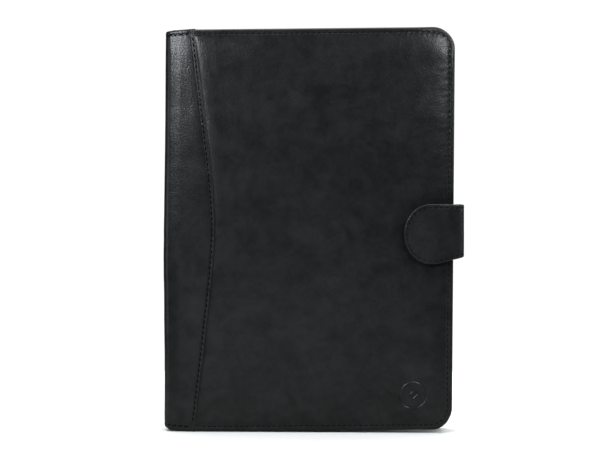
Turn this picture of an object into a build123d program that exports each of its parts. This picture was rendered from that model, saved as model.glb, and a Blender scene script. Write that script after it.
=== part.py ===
"""A5 leather notebook cover that closes with a sewn tab, standing upright on its bottom edge.

Millimetres, +Z up. The spine is at -X, the fore-edge and the closing tab at +X, and the front
cover faces -Y. The origin is at the centre of the closed cover's footprint, on its bottom edge.
Each piece of the cover is a solid of its own and is written to parts/NODE.step.
"""
from build123d import *
from math import hypot
import os

# Closed cover, over its outer leather
SPINE_X = -86.0          # outer face of the spine
FRONT_WIDTH = 166.0      # spine face to the front cover's fore-edge
FRONT_HEIGHT = 232.0
BACK_EXTRA = 0.5         # the back cover stands out this much past the front at top and fore-edge
CLOSED_THICKNESS = 24.0  # front leather's face to back leather's face
CORNER_R = 12.5          # rounded fore-edge corners

# Layers of a cover, from the outside in
LEATHER = 1.2
PADDING = 1.0
BOARD = 1.6
LINING = 0.7
COVER = LEATHER + PADDING + BOARD + LINING
RIM_GAP = 0.1            # board to turned-in leather edge

# Leather overlay that wraps the spine, and its curved edge
FLAP = 0.9               # the overlay lies this thick on the cover leather
FOLD_R = 3.5             # outer radius of the leather at each edge of the spine
FOLD_GAP = 0.4           # between the wrap's end and the overlay on a cover
SEAM_APEX = 29.2         # spine face to the overlay's edge, where it is widest
SEAM_APEX_Z = 117.0
SEAM_SLOPE = 0.125       # how fast the edge runs back to the spine away from the apex
SEAM_ROUND = 23.0        # how gently it turns at the apex
SEAM_STITCH_IN = 2.2     # the overlay's stitch line, in from its edge

# Spine
SPINE_LEATHER = 1.1
SPINE_BOARD = 1.6
SPINE_LINING = 0.7
SPINE_LINING_HALF = 7.0  # half the width of the lining's flat strip
COVER_START = 5.0        # the covers' boards start this far from the spine's face

# Stitching: a channel round each cover that the thread lies in
STITCH_IN = 2.9          # stitch line to edge
THREAD = 0.8             # width of the thread's channel
THREAD_DEEP = 0.3

# Pressed mark: a plain ring
MARK_R = 7.8
MARK_LINE = 0.7
MARK_DEEP = 0.3
MARK_FROM_EDGE = 22.6
MARK_Z = 20.7

# Closing strap and tab head
TAB_OUT = 6.0            # outer face of the strap, past the front cover's fore-edge
TAB_Z = 114.4
STRAP_WIDTH = 31.0
STRAP_LEATHER = 1.3
STRAP_LINING = 0.9
STRAP = STRAP_LEATHER + STRAP_LINING
STRAP_R = 4.0            # outer radius of the strap's two bends
STRAP_GAP = 0.5          # between the strap's bends and the anchor or the tab head
HEAD_WIDTH = 34.5
HEAD_TIP = 28.5          # tip of the head, in from the fore-edge
HEAD_ROUND = 15.5        # length of the head's rounded end
HEAD_LEATHER = 1.3
HEAD_STIFFENER = 0.7
HEAD_LINING = 0.8
HEAD = HEAD_LEATHER + HEAD_STIFFENER + HEAD_LINING
HEAD_STITCH_IN = 2.0
ANCHOR_LENGTH = 34.0     # strap sewn on the back cover

# Magnetic snap
SNAP_FROM_EDGE = 13.0
SOCKET_R = 7.5
SOCKET = 1.4             # the socket stands this proud of the front leather
SOCKET_HOLE_R = 4.2
SNAP_GAP = 0.2           # between socket and stud discs
STUD_R = 7.0
STUD_NOSE_R = 2.5
STUD_NOSE_TIP_R = 2.1
STUD_NOSE = 1.3
WASHER_R = 6.5
WASHER_HOLE_R = 1.2
SOCKET_WASHER = 0.6
STUD_WASHER = 0.4
PRONG_OUT = 5.1          # snap axis to each prong
PRONG_W = 2.4
PRONG_T = 0.4

# Inside: notebook, sleeves and card pockets
SHEET_W = 148.0
SHEET_H = 210.0
SHEET_X = -72.5          # spine side of the notebook
PAGES = 8.0
CARD = 1.0
SLEEVE = 0.9
SLEEVE_W = 72.0
TAPE = 0.6
TAPE_LAP = 8.0
TAPE_GAP = 0.1
DOCUMENT_SLEEVE_W = 118.0
POCKET = 0.8
POCKET_W = 98.0
POCKET_HEIGHTS = {"lower": 62.0, "middle": 86.0, "upper": 110.0}
POCKET_Z = 26.0
INSIDE_EDGE = 1.6        # sleeves stop this far inside the cover's edge

BACK_WIDTH = FRONT_WIDTH + BACK_EXTRA
BACK_HEIGHT = FRONT_HEIGHT + BACK_EXTRA
FRONT_EDGE_X = SPINE_X + FRONT_WIDTH
BACK_EDGE_X = SPINE_X + BACK_WIDTH
HEAD_PROUD = SOCKET + SNAP_GAP + HEAD
MIDDLE_Y = (HEAD_PROUD - STRAP) / 2
FACE = {-1: MIDDLE_Y - CLOSED_THICKNESS / 2, 1: MIDDLE_Y + CLOSED_THICKNESS / 2}
WIDTH = {-1: FRONT_WIDTH, 1: BACK_WIDTH}
HEIGHT = {-1: FRONT_HEIGHT, 1: BACK_HEIGHT}
SIDE_NAME = {-1: "front", 1: "back"}
STRAP_X = FRONT_EDGE_X + TAB_OUT
SNAP_X = FRONT_EDGE_X - SNAP_FROM_EDGE

parts = {}


def slab(outline, y_from, y_to):
    """The outline, drawn in X and Z, as a solid between two values of Y."""
    return extrude(Plane.XZ.offset(-y_from) * outline, amount=y_from - y_to)


def layer(outline, side, depth, thick):
    """A layer of a cover: it starts this deep under the outer leather's face, and goes inwards."""
    outer = FACE[side] - side * depth
    inner = outer - side * thick
    return slab(outline, outer, inner)


def rectangle(x_from, x_to, z_from, z_to):
    size = Rectangle(x_to - x_from, z_to - z_from)
    return Pos((x_from + x_to) / 2, (z_from + z_to) / 2) * size


def cover_outline(side, start, inset=0.0):
    """A cover's outline with its two round fore-edge corners, inset at top, bottom and fore-edge."""
    x_to = SPINE_X + WIDTH[side] - inset
    outline = rectangle(SPINE_X + start, x_to, inset, HEIGHT[side] - inset)
    corners = outline.vertices().group_by(Axis.X)[-1]
    return fillet(corners, CORNER_R - inset)


def seam_x(z):
    """The overlay's edge: nearly straight arms that meet in a soft, wide angle."""
    return SPINE_X + SEAM_APEX - SEAM_SLOPE * (hypot(z - SEAM_APEX_Z, SEAM_ROUND) - SEAM_ROUND)


def seam_band(height, shift, x_back=None, width=0.0):
    """A region whose right side is the seam, shifted, and whose left side is straight or the same curve."""
    steps = [0.0, 0.26, 0.4, SEAM_APEX_Z / height, 0.61, 0.75, 1.0]
    right = [(seam_x(t * height) + shift, t * height) for t in steps]
    if x_back is None:
        left = [(x - width, z) for x, z in right]
        left_edge = Spline(*left)
    else:
        left = [(x_back, 0.0), (x_back, height)]
        left_edge = Line(*left)
    edges = [Spline(*right), left_edge, Line(left[0], right[0]), Line(left[-1], right[-1])]
    return make_face(Wire.combine(edges)[0])


def stitch_ring(side, start, inset):
    """The thread's channel round a cover's three free edges."""
    outer = cover_outline(side, start, inset - THREAD / 2)
    return outer - cover_outline(side, start, inset + THREAD / 2)


def disc(radius, y_from, y_to):
    return slab(Pos(SNAP_X, TAB_Z) * Circle(radius), y_from, y_to)


def prongs(y_from, y_to):
    """The two flat prongs that hold a half of the snap."""
    spots = [Pos(SNAP_X + s * PRONG_OUT, TAB_Z) * Rectangle(PRONG_T, PRONG_W) for s in (-1, 1)]
    return slab(Sketch() + spots, y_from, y_to)


def make_cover(side):
    """Leather, overlay, stitching, padding, board and lining of one cover."""
    name = SIDE_NAME[side]
    flap_start = FOLD_R + FOLD_GAP
    full = cover_outline(side, COVER_START)
    inside = cover_outline(side, COVER_START, LEATHER)
    filling = cover_outline(side, COVER_START, LEATHER + RIM_GAP)

    flap_area = seam_band(HEIGHT[side], 0.0, x_back=SPINE_X + flap_start)
    ring = stitch_ring(side, flap_start, STITCH_IN)
    ring_on_leather = slab(ring - flap_area, FACE[side], FACE[side] - side * THREAD_DEEP)
    flap_face = FACE[side] + side * FLAP
    ring_on_flap = slab(ring & flap_area, flap_face, flap_face - side * THREAD_DEEP)
    seam_line = seam_band(HEIGHT[side], THREAD / 2 - SEAM_STITCH_IN, width=THREAD)
    seam_line -= ring
    seam_line &= cover_outline(side, flap_start, STITCH_IN)
    seam_thread = slab(seam_line, flap_face, flap_face - side * THREAD_DEEP)

    leather = layer(full, side, 0.0, COVER) - layer(inside, side, LEATHER, COVER)
    leather -= ring_on_leather
    parts[f"{name}_leather"] = leather
    flap = slab(flap_area, flap_face, FACE[side])
    parts[f"{name}_spine_flap"] = flap - ring_on_flap - seam_thread
    parts[f"{name}_edge_stitching"] = Compound(ring_on_leather.solids() + ring_on_flap.solids())
    parts[f"{name}_seam_stitching"] = seam_thread
    parts[f"{name}_padding"] = layer(filling, side, LEATHER, PADDING)
    parts[f"{name}_board"] = layer(filling, side, LEATHER + PADDING, BOARD)
    parts[f"{name}_lining"] = layer(inside, side, COVER - LINING, LINING)


def press_mark():
    """The plain ring pressed into the lower corner of the front leather."""
    spot = Pos(FRONT_EDGE_X - MARK_FROM_EDGE, MARK_Z)
    ring = spot * (Circle(MARK_R) - Circle(MARK_R - MARK_LINE))
    parts["front_leather"] -= layer(ring, -1, 0.0, MARK_DEEP)


def wrap(x_outer, x_end, y_low, y_high, thick):
    """Section of a strip that turns a corner at each end, both with their centres at x_end."""
    radius = abs(x_end - x_outer)
    toward = (x_end - x_outer) / radius
    flat = Rectangle(thick, y_high - y_low - 2 * radius)
    section = Pos(x_outer + toward * thick / 2, (y_low + y_high) / 2) * flat
    for y_centre, outwards in ((y_low + radius, -1), (y_high - radius, 1)):
        ring = Pos(x_end, y_centre) * (Circle(radius) - Circle(radius - thick))
        quarter = Rectangle(radius, radius)
        section += ring & Pos(x_end - toward * radius / 2, y_centre + outwards * radius / 2) * quarter
    return section


def make_spine():
    """Spine leather with its two turned edges, its board, lining and stitching."""
    y_low = FACE[-1] - FLAP
    y_high = FACE[1] + FLAP
    section = wrap(SPINE_X, SPINE_X + FOLD_R, y_low, y_high, SPINE_LEATHER)
    leather = extrude(section, amount=FRONT_HEIGHT)

    flat_low = y_low + FOLD_R
    flat_high = y_high - FOLD_R
    threads = []
    for z in (STITCH_IN, FRONT_HEIGHT - STITCH_IN):
        centre = (SPINE_X + THREAD_DEEP / 2, (flat_low + flat_high) / 2, z)
        threads.append(Pos(*centre) * Box(THREAD_DEEP, flat_high - flat_low, THREAD))
    parts["spine_leather"] = leather - threads
    parts["spine_edge_stitching"] = Compound(threads)

    board_x = SPINE_X + SPINE_LEATHER
    board = Pos((2 * board_x + SPINE_BOARD) / 2, MIDDLE_Y) * Rectangle(SPINE_BOARD, flat_high - flat_low)
    board_low = Pos(0, 0, LEATHER + RIM_GAP)
    board_height = FRONT_HEIGHT - 2 * (LEATHER + RIM_GAP)
    parts["spine_board"] = board_low * extrude(board, amount=board_height)

    lining_x = board_x + SPINE_BOARD
    lining = Pos(lining_x + SPINE_LINING / 2, MIDDLE_Y) * Rectangle(SPINE_LINING, 2 * SPINE_LINING_HALF)
    parts["spine_lining"] = board_low * extrude(lining, amount=board_height)


def make_inside():
    """The notebook in its sleeve at the back, and the sleeve and card pockets in the front."""
    back_inner = FACE[1] - COVER
    z_low = (FRONT_HEIGHT - SHEET_H) / 2
    sheet = rectangle(SHEET_X, SHEET_X + SHEET_W, z_low, z_low + SHEET_H)
    card_face = back_inner - CARD
    parts["notebook_back_card"] = slab(sheet, back_inner, card_face)

    sleeve = cover_outline(1, BACK_WIDTH - SLEEVE_W, INSIDE_EDGE)
    sleeve_solid = slab(sleeve, back_inner, card_face - SLEEVE)
    card_room = rectangle(BACK_EDGE_X - SLEEVE_W, SHEET_X + SHEET_W, z_low, z_low + SHEET_H)
    parts["notebook_sleeve"] = sleeve_solid - slab(card_room, back_inner, card_face)

    pages_back = card_face - SLEEVE - TAPE_GAP
    pages = rectangle(SHEET_X, SHEET_X + SHEET_W, z_low, z_low + SHEET_H)
    parts["page_block"] = slab(pages, pages_back, pages_back - PAGES)

    tape_x = SHEET_X - TAPE
    pages_front = pages_back - PAGES
    side_strip = slab(rectangle(tape_x, SHEET_X, z_low, z_low + SHEET_H), back_inner, pages_front)
    glued = rectangle(SHEET_X, SHEET_X + TAPE_LAP, z_low, z_low + SHEET_H)
    front_lap = rectangle(tape_x, SHEET_X + TAPE_LAP, z_low, z_low + SHEET_H)
    parts["notebook_binding_tape"] = (
        side_strip + slab(glued, card_face, pages_back) + slab(front_lap, pages_front, pages_front - TAPE)
    )

    front_inner = FACE[-1] + COVER
    document = cover_outline(-1, FRONT_WIDTH - DOCUMENT_SLEEVE_W, INSIDE_EDGE)
    level = front_inner + SLEEVE
    parts["document_sleeve"] = slab(document, front_inner, level)
    pocket_right = FRONT_EDGE_X - INSIDE_EDGE
    for name, height in sorted(POCKET_HEIGHTS.items(), key=lambda item: -item[1]):
        pocket = rectangle(pocket_right - POCKET_W, pocket_right, POCKET_Z, POCKET_Z + height)
        parts[f"card_pocket_{name}"] = slab(pocket, level, level + POCKET)
        level += POCKET


def head_outline(inset):
    """The tab head: straight sides that widen a little from the bend, and a round end."""
    bend_x = STRAP_X - STRAP_R - STRAP_GAP
    round_x = FRONT_EDGE_X - HEAD_TIP + HEAD_ROUND
    half = HEAD_WIDTH / 2 - inset
    neck = STRAP_WIDTH / 2 - inset
    end = EllipticalCenterArc((round_x, TAB_Z), HEAD_ROUND - inset, half, start_angle=90, arc_size=180)
    edges = [
        end,
        Line((round_x, TAB_Z - half), (bend_x, TAB_Z - neck)),
        Line((bend_x, TAB_Z - neck), (bend_x, TAB_Z + neck)),
        Line((bend_x, TAB_Z + neck), (round_x, TAB_Z + half)),
    ]
    return make_face(Wire.combine(edges)[0])


def make_head():
    """The tab head's leather, stiffener, lining and stitching."""
    outer = FACE[-1] - HEAD_PROUD
    stiff_from = outer + HEAD_LEATHER
    lining_from = stiff_from + HEAD_STIFFENER
    lining_to = lining_from + HEAD_LINING
    whole = head_outline(0.0)
    core = head_outline(HEAD_STITCH_IN + THREAD)
    thread = head_outline(HEAD_STITCH_IN - THREAD / 2) - head_outline(HEAD_STITCH_IN + THREAD / 2)
    bend_x = STRAP_X - STRAP_R - STRAP_GAP
    thread -= rectangle(bend_x - THREAD, bend_x, TAB_Z - HEAD_WIDTH, TAB_Z + HEAD_WIDTH)
    threads = slab(thread, outer, outer + THREAD_DEEP)
    parts["tab_stitching"] = threads

    washer = disc(WASHER_R, stiff_from - STUD_WASHER, stiff_from) - disc(WASHER_HOLE_R, outer, lining_to)
    pins = prongs(stiff_from - STUD_WASHER, lining_from)
    parts["tab_leather"] = (
        slab(whole, outer, lining_from) - slab(core, stiff_from, lining_from) - threads
        - disc(WASHER_R, stiff_from - STUD_WASHER, stiff_from)
    )
    parts["tab_stiffener"] = slab(core, stiff_from, lining_from) - pins
    parts["tab_lining"] = slab(whole, lining_from, lining_to) - disc(STUD_R, lining_from, lining_to)
    parts["snap_stud_washer"] = washer - pins
    nose = Pos(SNAP_X, lining_to, TAB_Z) * Rot(X=-90) * Pos(Z=STUD_NOSE / 2) * Cone(
        STUD_NOSE_R, STUD_NOSE_TIP_R, STUD_NOSE
    )
    parts["snap_stud"] = disc(STUD_R, lining_from, lining_to) + nose + pins


def make_socket():
    """The socket half of the snap, through the front leather to its washer in the padding."""
    face = FACE[-1]
    under = face + LEATHER
    pins = prongs(face, under + SOCKET_WASHER)
    flange = disc(SOCKET_R, face - SOCKET, face) - disc(SOCKET_HOLE_R, face - SOCKET, face)
    parts["snap_socket"] = flange + pins
    washer = disc(WASHER_R, under, under + SOCKET_WASHER)
    parts["snap_socket_washer"] = washer - disc(WASHER_HOLE_R, under, under + SOCKET_WASHER) - pins
    parts["front_leather"] -= pins
    parts["front_padding"] -= washer


def make_strap():
    """The strap round the fore-edge, and its end sewn on the back cover."""
    y_low = FACE[-1] - HEAD_PROUD
    y_high = FACE[1] + STRAP
    x_end = STRAP_X - STRAP_R
    z_low = TAB_Z - STRAP_WIDTH / 2
    low = Pos(0, 0, z_low)
    outer = wrap(STRAP_X, x_end, y_low, y_high, STRAP_LEATHER)
    under_low = y_low + STRAP_LEATHER
    under_high = y_high - STRAP_LEATHER
    inner = wrap(STRAP_X - STRAP_LEATHER, x_end, under_low, under_high, STRAP_LINING)
    leather = low * extrude(outer, amount=STRAP_WIDTH)
    parts["strap_lining"] = low * extrude(inner, amount=STRAP_WIDTH)

    flat_low = y_low + STRAP_R
    flat_high = y_high - STRAP_R
    threads = []
    for z in (z_low + HEAD_STITCH_IN, z_low + STRAP_WIDTH - HEAD_STITCH_IN):
        centre = (STRAP_X - THREAD_DEEP / 2, (flat_low + flat_high) / 2, z)
        threads.append(Pos(*centre) * Box(THREAD_DEEP, flat_high - flat_low, THREAD))
    parts["strap_leather"] = leather - threads
    parts["strap_stitching"] = Compound(threads)

    anchor_from = x_end - STRAP_GAP - ANCHOR_LENGTH
    anchor_to = x_end - STRAP_GAP
    anchor = rectangle(anchor_from, anchor_to, z_low, z_low + STRAP_WIDTH)
    inset = HEAD_STITCH_IN
    line = THREAD / 2
    frame = rectangle(
        anchor_from + inset - line, anchor_to, z_low + inset - line, z_low + STRAP_WIDTH - inset + line
    ) - rectangle(
        anchor_from + inset + line, anchor_to, z_low + inset + line, z_low + STRAP_WIDTH - inset - line
    )
    thread = slab(frame, y_high, y_high - THREAD_DEEP)
    leather_face = y_high - STRAP_LEATHER
    parts["strap_anchor"] = slab(anchor, y_high, leather_face) - thread
    parts["strap_anchor_lining"] = slab(anchor, leather_face, FACE[1])
    parts["strap_anchor_stitching"] = thread


make_cover(-1)
make_cover(1)
press_mark()
make_spine()
make_inside()
make_head()
make_socket()
make_strap()

os.makedirs("parts", exist_ok=True)
for node, shape in parts.items():
    shape.label = node
    export_step(shape, f"parts/{node}.step")
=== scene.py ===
"""Looks of the A5 leather notebook cover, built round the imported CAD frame.

Shapes are worked out in millimetres in the frame's axes and turned into metres when a mesh is made.
A leather piece keeps, in the attribute "flat", where each of its points lay on the flat hide, so
that its grain follows it round a bend and stays on it when a joint moves.
"""

import math

import bmesh
import bpy
import numpy as np
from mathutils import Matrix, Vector, noise


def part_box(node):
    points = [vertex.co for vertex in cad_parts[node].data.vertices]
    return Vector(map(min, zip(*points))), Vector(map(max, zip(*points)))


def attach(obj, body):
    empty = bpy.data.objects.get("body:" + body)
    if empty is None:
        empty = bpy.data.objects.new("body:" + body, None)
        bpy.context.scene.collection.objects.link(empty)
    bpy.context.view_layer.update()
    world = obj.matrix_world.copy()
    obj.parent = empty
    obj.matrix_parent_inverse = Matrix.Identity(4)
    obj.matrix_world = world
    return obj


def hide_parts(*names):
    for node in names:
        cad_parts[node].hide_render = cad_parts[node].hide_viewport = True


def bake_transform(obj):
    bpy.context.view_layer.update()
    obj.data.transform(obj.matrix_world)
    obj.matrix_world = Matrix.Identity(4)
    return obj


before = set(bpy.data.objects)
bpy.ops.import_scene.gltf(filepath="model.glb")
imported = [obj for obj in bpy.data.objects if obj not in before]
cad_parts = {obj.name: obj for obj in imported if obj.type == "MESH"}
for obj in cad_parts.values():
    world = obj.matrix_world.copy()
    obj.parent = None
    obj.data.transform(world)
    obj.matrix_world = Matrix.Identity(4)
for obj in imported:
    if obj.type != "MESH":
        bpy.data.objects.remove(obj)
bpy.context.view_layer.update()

# ---- sizes, in millimetres
MM = 0.001
PITCH = 3.14             # one machine stitch
STEP = PITCH / 4         # spacing of mesh lines along a stitched edge
PANEL_STEP = 0.81        # spacing of mesh lines on the two large panels
MERGE = 1e-7             # metres: points nearer than this are one point


def corners(*nodes):
    """Lowest and highest corner round one or more CAD nodes."""
    boxes = [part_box(node) for node in nodes]
    low = np.min([np.array(b[0]) for b in boxes], axis=0)
    high = np.max([np.array(b[1]) for b in boxes], axis=0)
    return low / MM, high / MM


FRONT_LOW, FRONT_HIGH = corners("front_leather")
BACK_LOW, BACK_HIGH = corners("back_leather")
SPINE_LOW, SPINE_HIGH = corners("spine_leather")
STRAP_LOW, STRAP_HIGH = corners("strap_leather")
HEAD_LOW, HEAD_HIGH = corners("tab_leather", "tab_lining")
ANCHOR_LOW, ANCHOR_HIGH = corners("strap_anchor", "strap_anchor_lining")

SPINE_X = SPINE_LOW[0]
FOLD_R = SPINE_HIGH[0] - SPINE_LOW[0]
MIDDLE_Y = (SPINE_LOW[1] + SPINE_HIGH[1]) / 2
FLAP_FACE = SPINE_LOW[1]              # front overlay's face; the back one is its mirror image
COVER = FRONT_HIGH[1] - FRONT_LOW[1]  # thickness of one cover
CORNER_R = 12.5
STITCH_IN = 2.9          # a stitch line's distance from the edge
SPINE_FLAT = MIDDLE_Y - FLAP_FACE - FOLD_R              # from mid-spine to the start of a fold
FOLD_END = SPINE_FLAT + FOLD_R * math.pi / 2

# Curved edge of the spine overlay
SEAM_APEX = 29.2
SEAM_APEX_Z = 117.0
SEAM_SLOPE = 0.125
SEAM_ROUND = 23.0
SEAM_STITCH_IN = 2.2
FALL = 1.4               # fall of the spine panel from its seam to the fold
ROLL_OFF = 0.8           # how much more it falls close to the fold
ROLL_REACH = 9.0

# Pressed mark
MARK_X = FRONT_HIGH[0] - 22.6
MARK_Z = 20.7
MARK_R = 7.6
MARK_LINE = 0.42
MARK_DEEP = 0.46
MARK_DIAMOND = 2.2

# Strap and tab
STRAP_R = STRAP_HIGH[0] - STRAP_LOW[0]
STRAP_THICK = 2.2
ANCHOR_R = 3.4           # corners of the part sewn to the back cover
TAB_Z = (STRAP_LOW[2] + STRAP_HIGH[2]) / 2
STRAP_HALF = (STRAP_HIGH[2] - STRAP_LOW[2]) / 2
HEAD_HALF = (HEAD_HIGH[2] - HEAD_LOW[2]) / 2
HEAD_ROUND = 15.5
TAB_STITCH_IN = 2.0
STRAP_NARROW = 0.05      # how much narrower the strap's lower half is at the fore-edge
STRAP_PULL = 0.35        # how much tighter it is pulled round the edge
STRAP_SHIFT = 1.5        # how far the strap sits above the middle of the tab head


def smooth(t):
    """0 up to t = 0, 1 from t = 1, and smooth between."""
    t = np.clip(t, 0.0, 1.0)
    return t * t * (3 - 2 * t)


def bump_at(x, centre, width):
    return np.exp(-(((x - centre) / width) ** 2))


def seam_x(z):
    return SPINE_X + SEAM_APEX - SEAM_SLOPE * (np.hypot(z - SEAM_APEX_Z, SEAM_ROUND) - SEAM_ROUND)


def spine_fall(x, z):
    """How far the spine panel, padded at its seam, falls towards the fold."""
    from_fold = x - (SPINE_X + FOLD_R)
    width = seam_x(z) - (SPINE_X + FOLD_R)
    even = FALL * np.clip(1 - from_fold / width, 0.0, None) ** 1.2
    return even + ROLL_OFF * (1 - smooth((from_fold + FOLD_R) / ROLL_REACH))


def rough(u, v, scale, seed, octaves=3):
    """Smooth noise about 0 over a pair of arrays; scale is its grain in millimetres."""
    u, v = np.broadcast_arrays(u, v)
    flat = [
        noise.fractal(Vector((a / scale, b / scale, seed)), 0.9, 2.1, octaves)
        for a, b in zip(u.ravel(), v.ravel())
    ]
    return np.array(flat).reshape(u.shape)


# ---- meshes
def quads(index):
    """Faces between the rows and columns of an array of point numbers."""
    rows = np.stack([index[:-1, :-1], index[:-1, 1:], index[1:, 1:], index[1:, :-1]], -1)
    return rows.reshape(-1, 4).tolist()


def tube_faces(index):
    """Faces of a closed tube, whose rings are the rows of index, and of a cap at each end."""
    return quads(np.concatenate([index, index[:, :1]], axis=1)) + [index[0].tolist(), index[-1].tolist()]


def stack(*parts):
    """Several arrays of points as one list of points."""
    return np.concatenate([part.reshape(-1, 3) for part in parts])


def settle(piece, body, slot, *nodes):
    """A piece that moves with one body and stands for CAD nodes, which it hides. slot is not used."""
    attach(piece, body)
    if nodes:
        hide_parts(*nodes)


def settle_bent(piece, bodies, hinge, slot, *nodes):
    """For a piece that crosses the fold between two bodies: bakes its transform into its mesh and hides the
    CAD nodes. bodies, hinge and slot are not used.
    """
    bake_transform(piece)
    if nodes:
        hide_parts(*nodes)


def make_piece(name, points, faces, material, flat=None, facing=None):
    """A smooth mesh from points in millimetres. facing is the way that most of an open sheet looks."""
    mesh = bpy.data.meshes.new(name)
    points = np.asarray(points, float)
    mesh.from_pydata((points * MM).tolist(), [], faces)
    where = mesh.attributes.new("flat", "FLOAT_VECTOR", "POINT")
    where.data.foreach_set("vector", np.asarray(points if flat is None else flat, float).ravel())
    bm = bmesh.new()
    bm.from_mesh(mesh)
    bmesh.ops.remove_doubles(bm, verts=bm.verts, dist=MERGE)
    bmesh.ops.recalc_face_normals(bm, faces=bm.faces)
    if facing is not None:
        total = sum((f.normal * f.calc_area() for f in bm.faces), Vector())
        if total.dot(Vector(facing)) < 0:
            bmesh.ops.reverse_faces(bm, faces=bm.faces)
    for face in bm.faces:
        face.smooth = True
    bm.to_mesh(mesh)
    bm.free()
    mesh.materials.append(material)
    return show(name, mesh)


def show(name, data):
    """A new object in the scene."""
    thing = bpy.data.objects.new(name, data)
    bpy.context.scene.collection.objects.link(thing)
    return thing


def free_edge_panel(us, half, radii, column, profile, steps):
    """Rings that follow a panel's free edge, and the grid inside the innermost ring.

    The panel is flat in (u, v): open at u = 0, round-cornered at its far end, as wide as 2 * half(u).
    profile is a list of (inset, depth), from the innermost ring outwards.
    """
    us = np.asarray(us, float)
    core = profile[0][0]
    centre_half = half(us[-1])
    angles = np.linspace(0, math.pi / 2, steps + 1)[1:]
    rings = []
    for inset, _ in profile:
        long_r = max(radii[0] - inset, 0.0)
        short_r = max(radii[1] - inset, 0.0)
        narrow = (inset / core) ** 2 * (centre_half - half(us))
        top = np.stack([us, half(us) - inset + narrow], 1)
        turn = np.stack(
            [us[-1] + long_r * np.sin(angles), centre_half - radii[1] + short_r * np.cos(angles)], 1
        )
        side = np.stack([np.full(len(column), us[-1] + long_r), np.asarray(column, float)], 1)
        mirror = np.array([1.0, -1.0])
        rings.append(np.concatenate([top, turn, side, (turn * mirror)[::-1], (top * mirror)[::-1]]))
    rings = np.array(rings)
    across = rings[0][len(us) - 1 : rings.shape[1] - len(us) + 1, 1]
    grid = np.stack(np.broadcast_arrays(us[:, None], across[None, :]), -1)
    return rings, grid


def panel_faces(rings, grid, count):
    """Point numbers and faces of a panel's rings and of count grids that follow them."""
    ring_index = np.arange(rings.shape[0] * rings.shape[1]).reshape(rings.shape[:2])
    faces = quads(ring_index)
    start = ring_index.size
    for _ in range(count):
        grid_index = start + np.arange(grid.shape[0] * grid.shape[1]).reshape(grid.shape[:2])
        faces += quads(grid_index)
        start += grid_index.size
    return faces


def flat_points(rings, depths, grid, levels):
    """Where a panel's rings, and its grid at each level, lie on the flat hide."""
    ring_flat = np.concatenate([rings, np.broadcast_to(-depths[..., None], (*rings.shape[:2], 1))], -1)
    layers = [np.concatenate([grid, np.full((*grid.shape[:2], 1), level)], -1) for level in levels]
    return stack(ring_flat, *layers)


def lengths(points):
    """Distance along a line of points, from its first one."""
    return np.concatenate([[0.0], np.cumsum(np.linalg.norm(np.diff(points, axis=0), axis=1))])


def round_rectangle(x_span, z_span, left_r, right_r, inset=0.0, steps=8):
    """Outline (x, z) of a rectangle with round corners, drawn in by inset."""
    outline = []
    for turn, at_right, at_top in ((0, 1, 1), (90, 0, 1), (180, 0, 0), (270, 1, 0)):
        radius = right_r if at_right else left_r
        cx = x_span[at_right] + (-radius if at_right else radius)
        cz = z_span[at_top] + (-radius if at_top else radius)
        bend = max(radius - inset, 0.02)
        shift = inset - (radius - bend)
        cx += -shift if at_right else shift
        cz += -shift if at_top else shift
        for angle in np.radians(np.linspace(turn, turn + 90, steps + 1)):
            outline.append((cx + bend * math.cos(angle), cz + bend * math.sin(angle)))
    return outline


def soft_plate(name, x_span, z_span, radii, y_span, material, edge=0.3, swell=0.0):
    """A plate with rounded edges between the two values of y_span, whose faces may swell a little."""
    thick = abs(y_span[1] - y_span[0])
    way = math.copysign(1.0, y_span[1] - y_span[0])
    edge = min(edge, thick * 0.45)
    bend = [(edge * (1 - math.sin(a)), edge * (1 - math.cos(a))) for a in np.radians([0, 22, 45, 68, 90])]
    sides = bend + [(inset, thick - deep) for inset, deep in bend[::-1]]
    sides = [(3.0, -swell)] + sides + [(3.0, thick + swell)]
    points = []
    for inset, deep in sides:
        ring = round_rectangle(x_span, z_span, *radii, inset)
        points += [(x, y_span[0] + way * deep, z) for x, z in ring]
    count = len(points) // len(sides)
    return make_piece(name, points, tube_faces(np.arange(len(points)).reshape(len(sides), count)), material)


def extrusion(name, section, z_from, z_to, material, ends=0.3):
    """A strip of one section, drawn in X and Y, that runs along Z and has slightly drawn-in ends."""
    section = np.asarray(section, float)
    middle = section.mean(0)
    levels = [(z_from, 0.9), (z_from + ends, 1.0), (z_to - ends, 1.0), (z_to, 0.9)]
    points = [(*(middle + (p - middle) * size), z) for z, size in levels for p in section]
    return make_piece(name, points, tube_faces(np.arange(len(points)).reshape(len(levels), -1)), material)


# ---- thread
STITCH_SIDES = 6
STITCH_PROFILE = [(-0.5, -0.36, 0.5), (-0.4, -0.14, 0.85), (-0.2, 0.0, 1.0), (0.0, 0.04, 1.05),
                  (0.2, 0.0, 1.0), (0.4, -0.14, 0.85), (0.5, -0.36, 0.5)]


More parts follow.
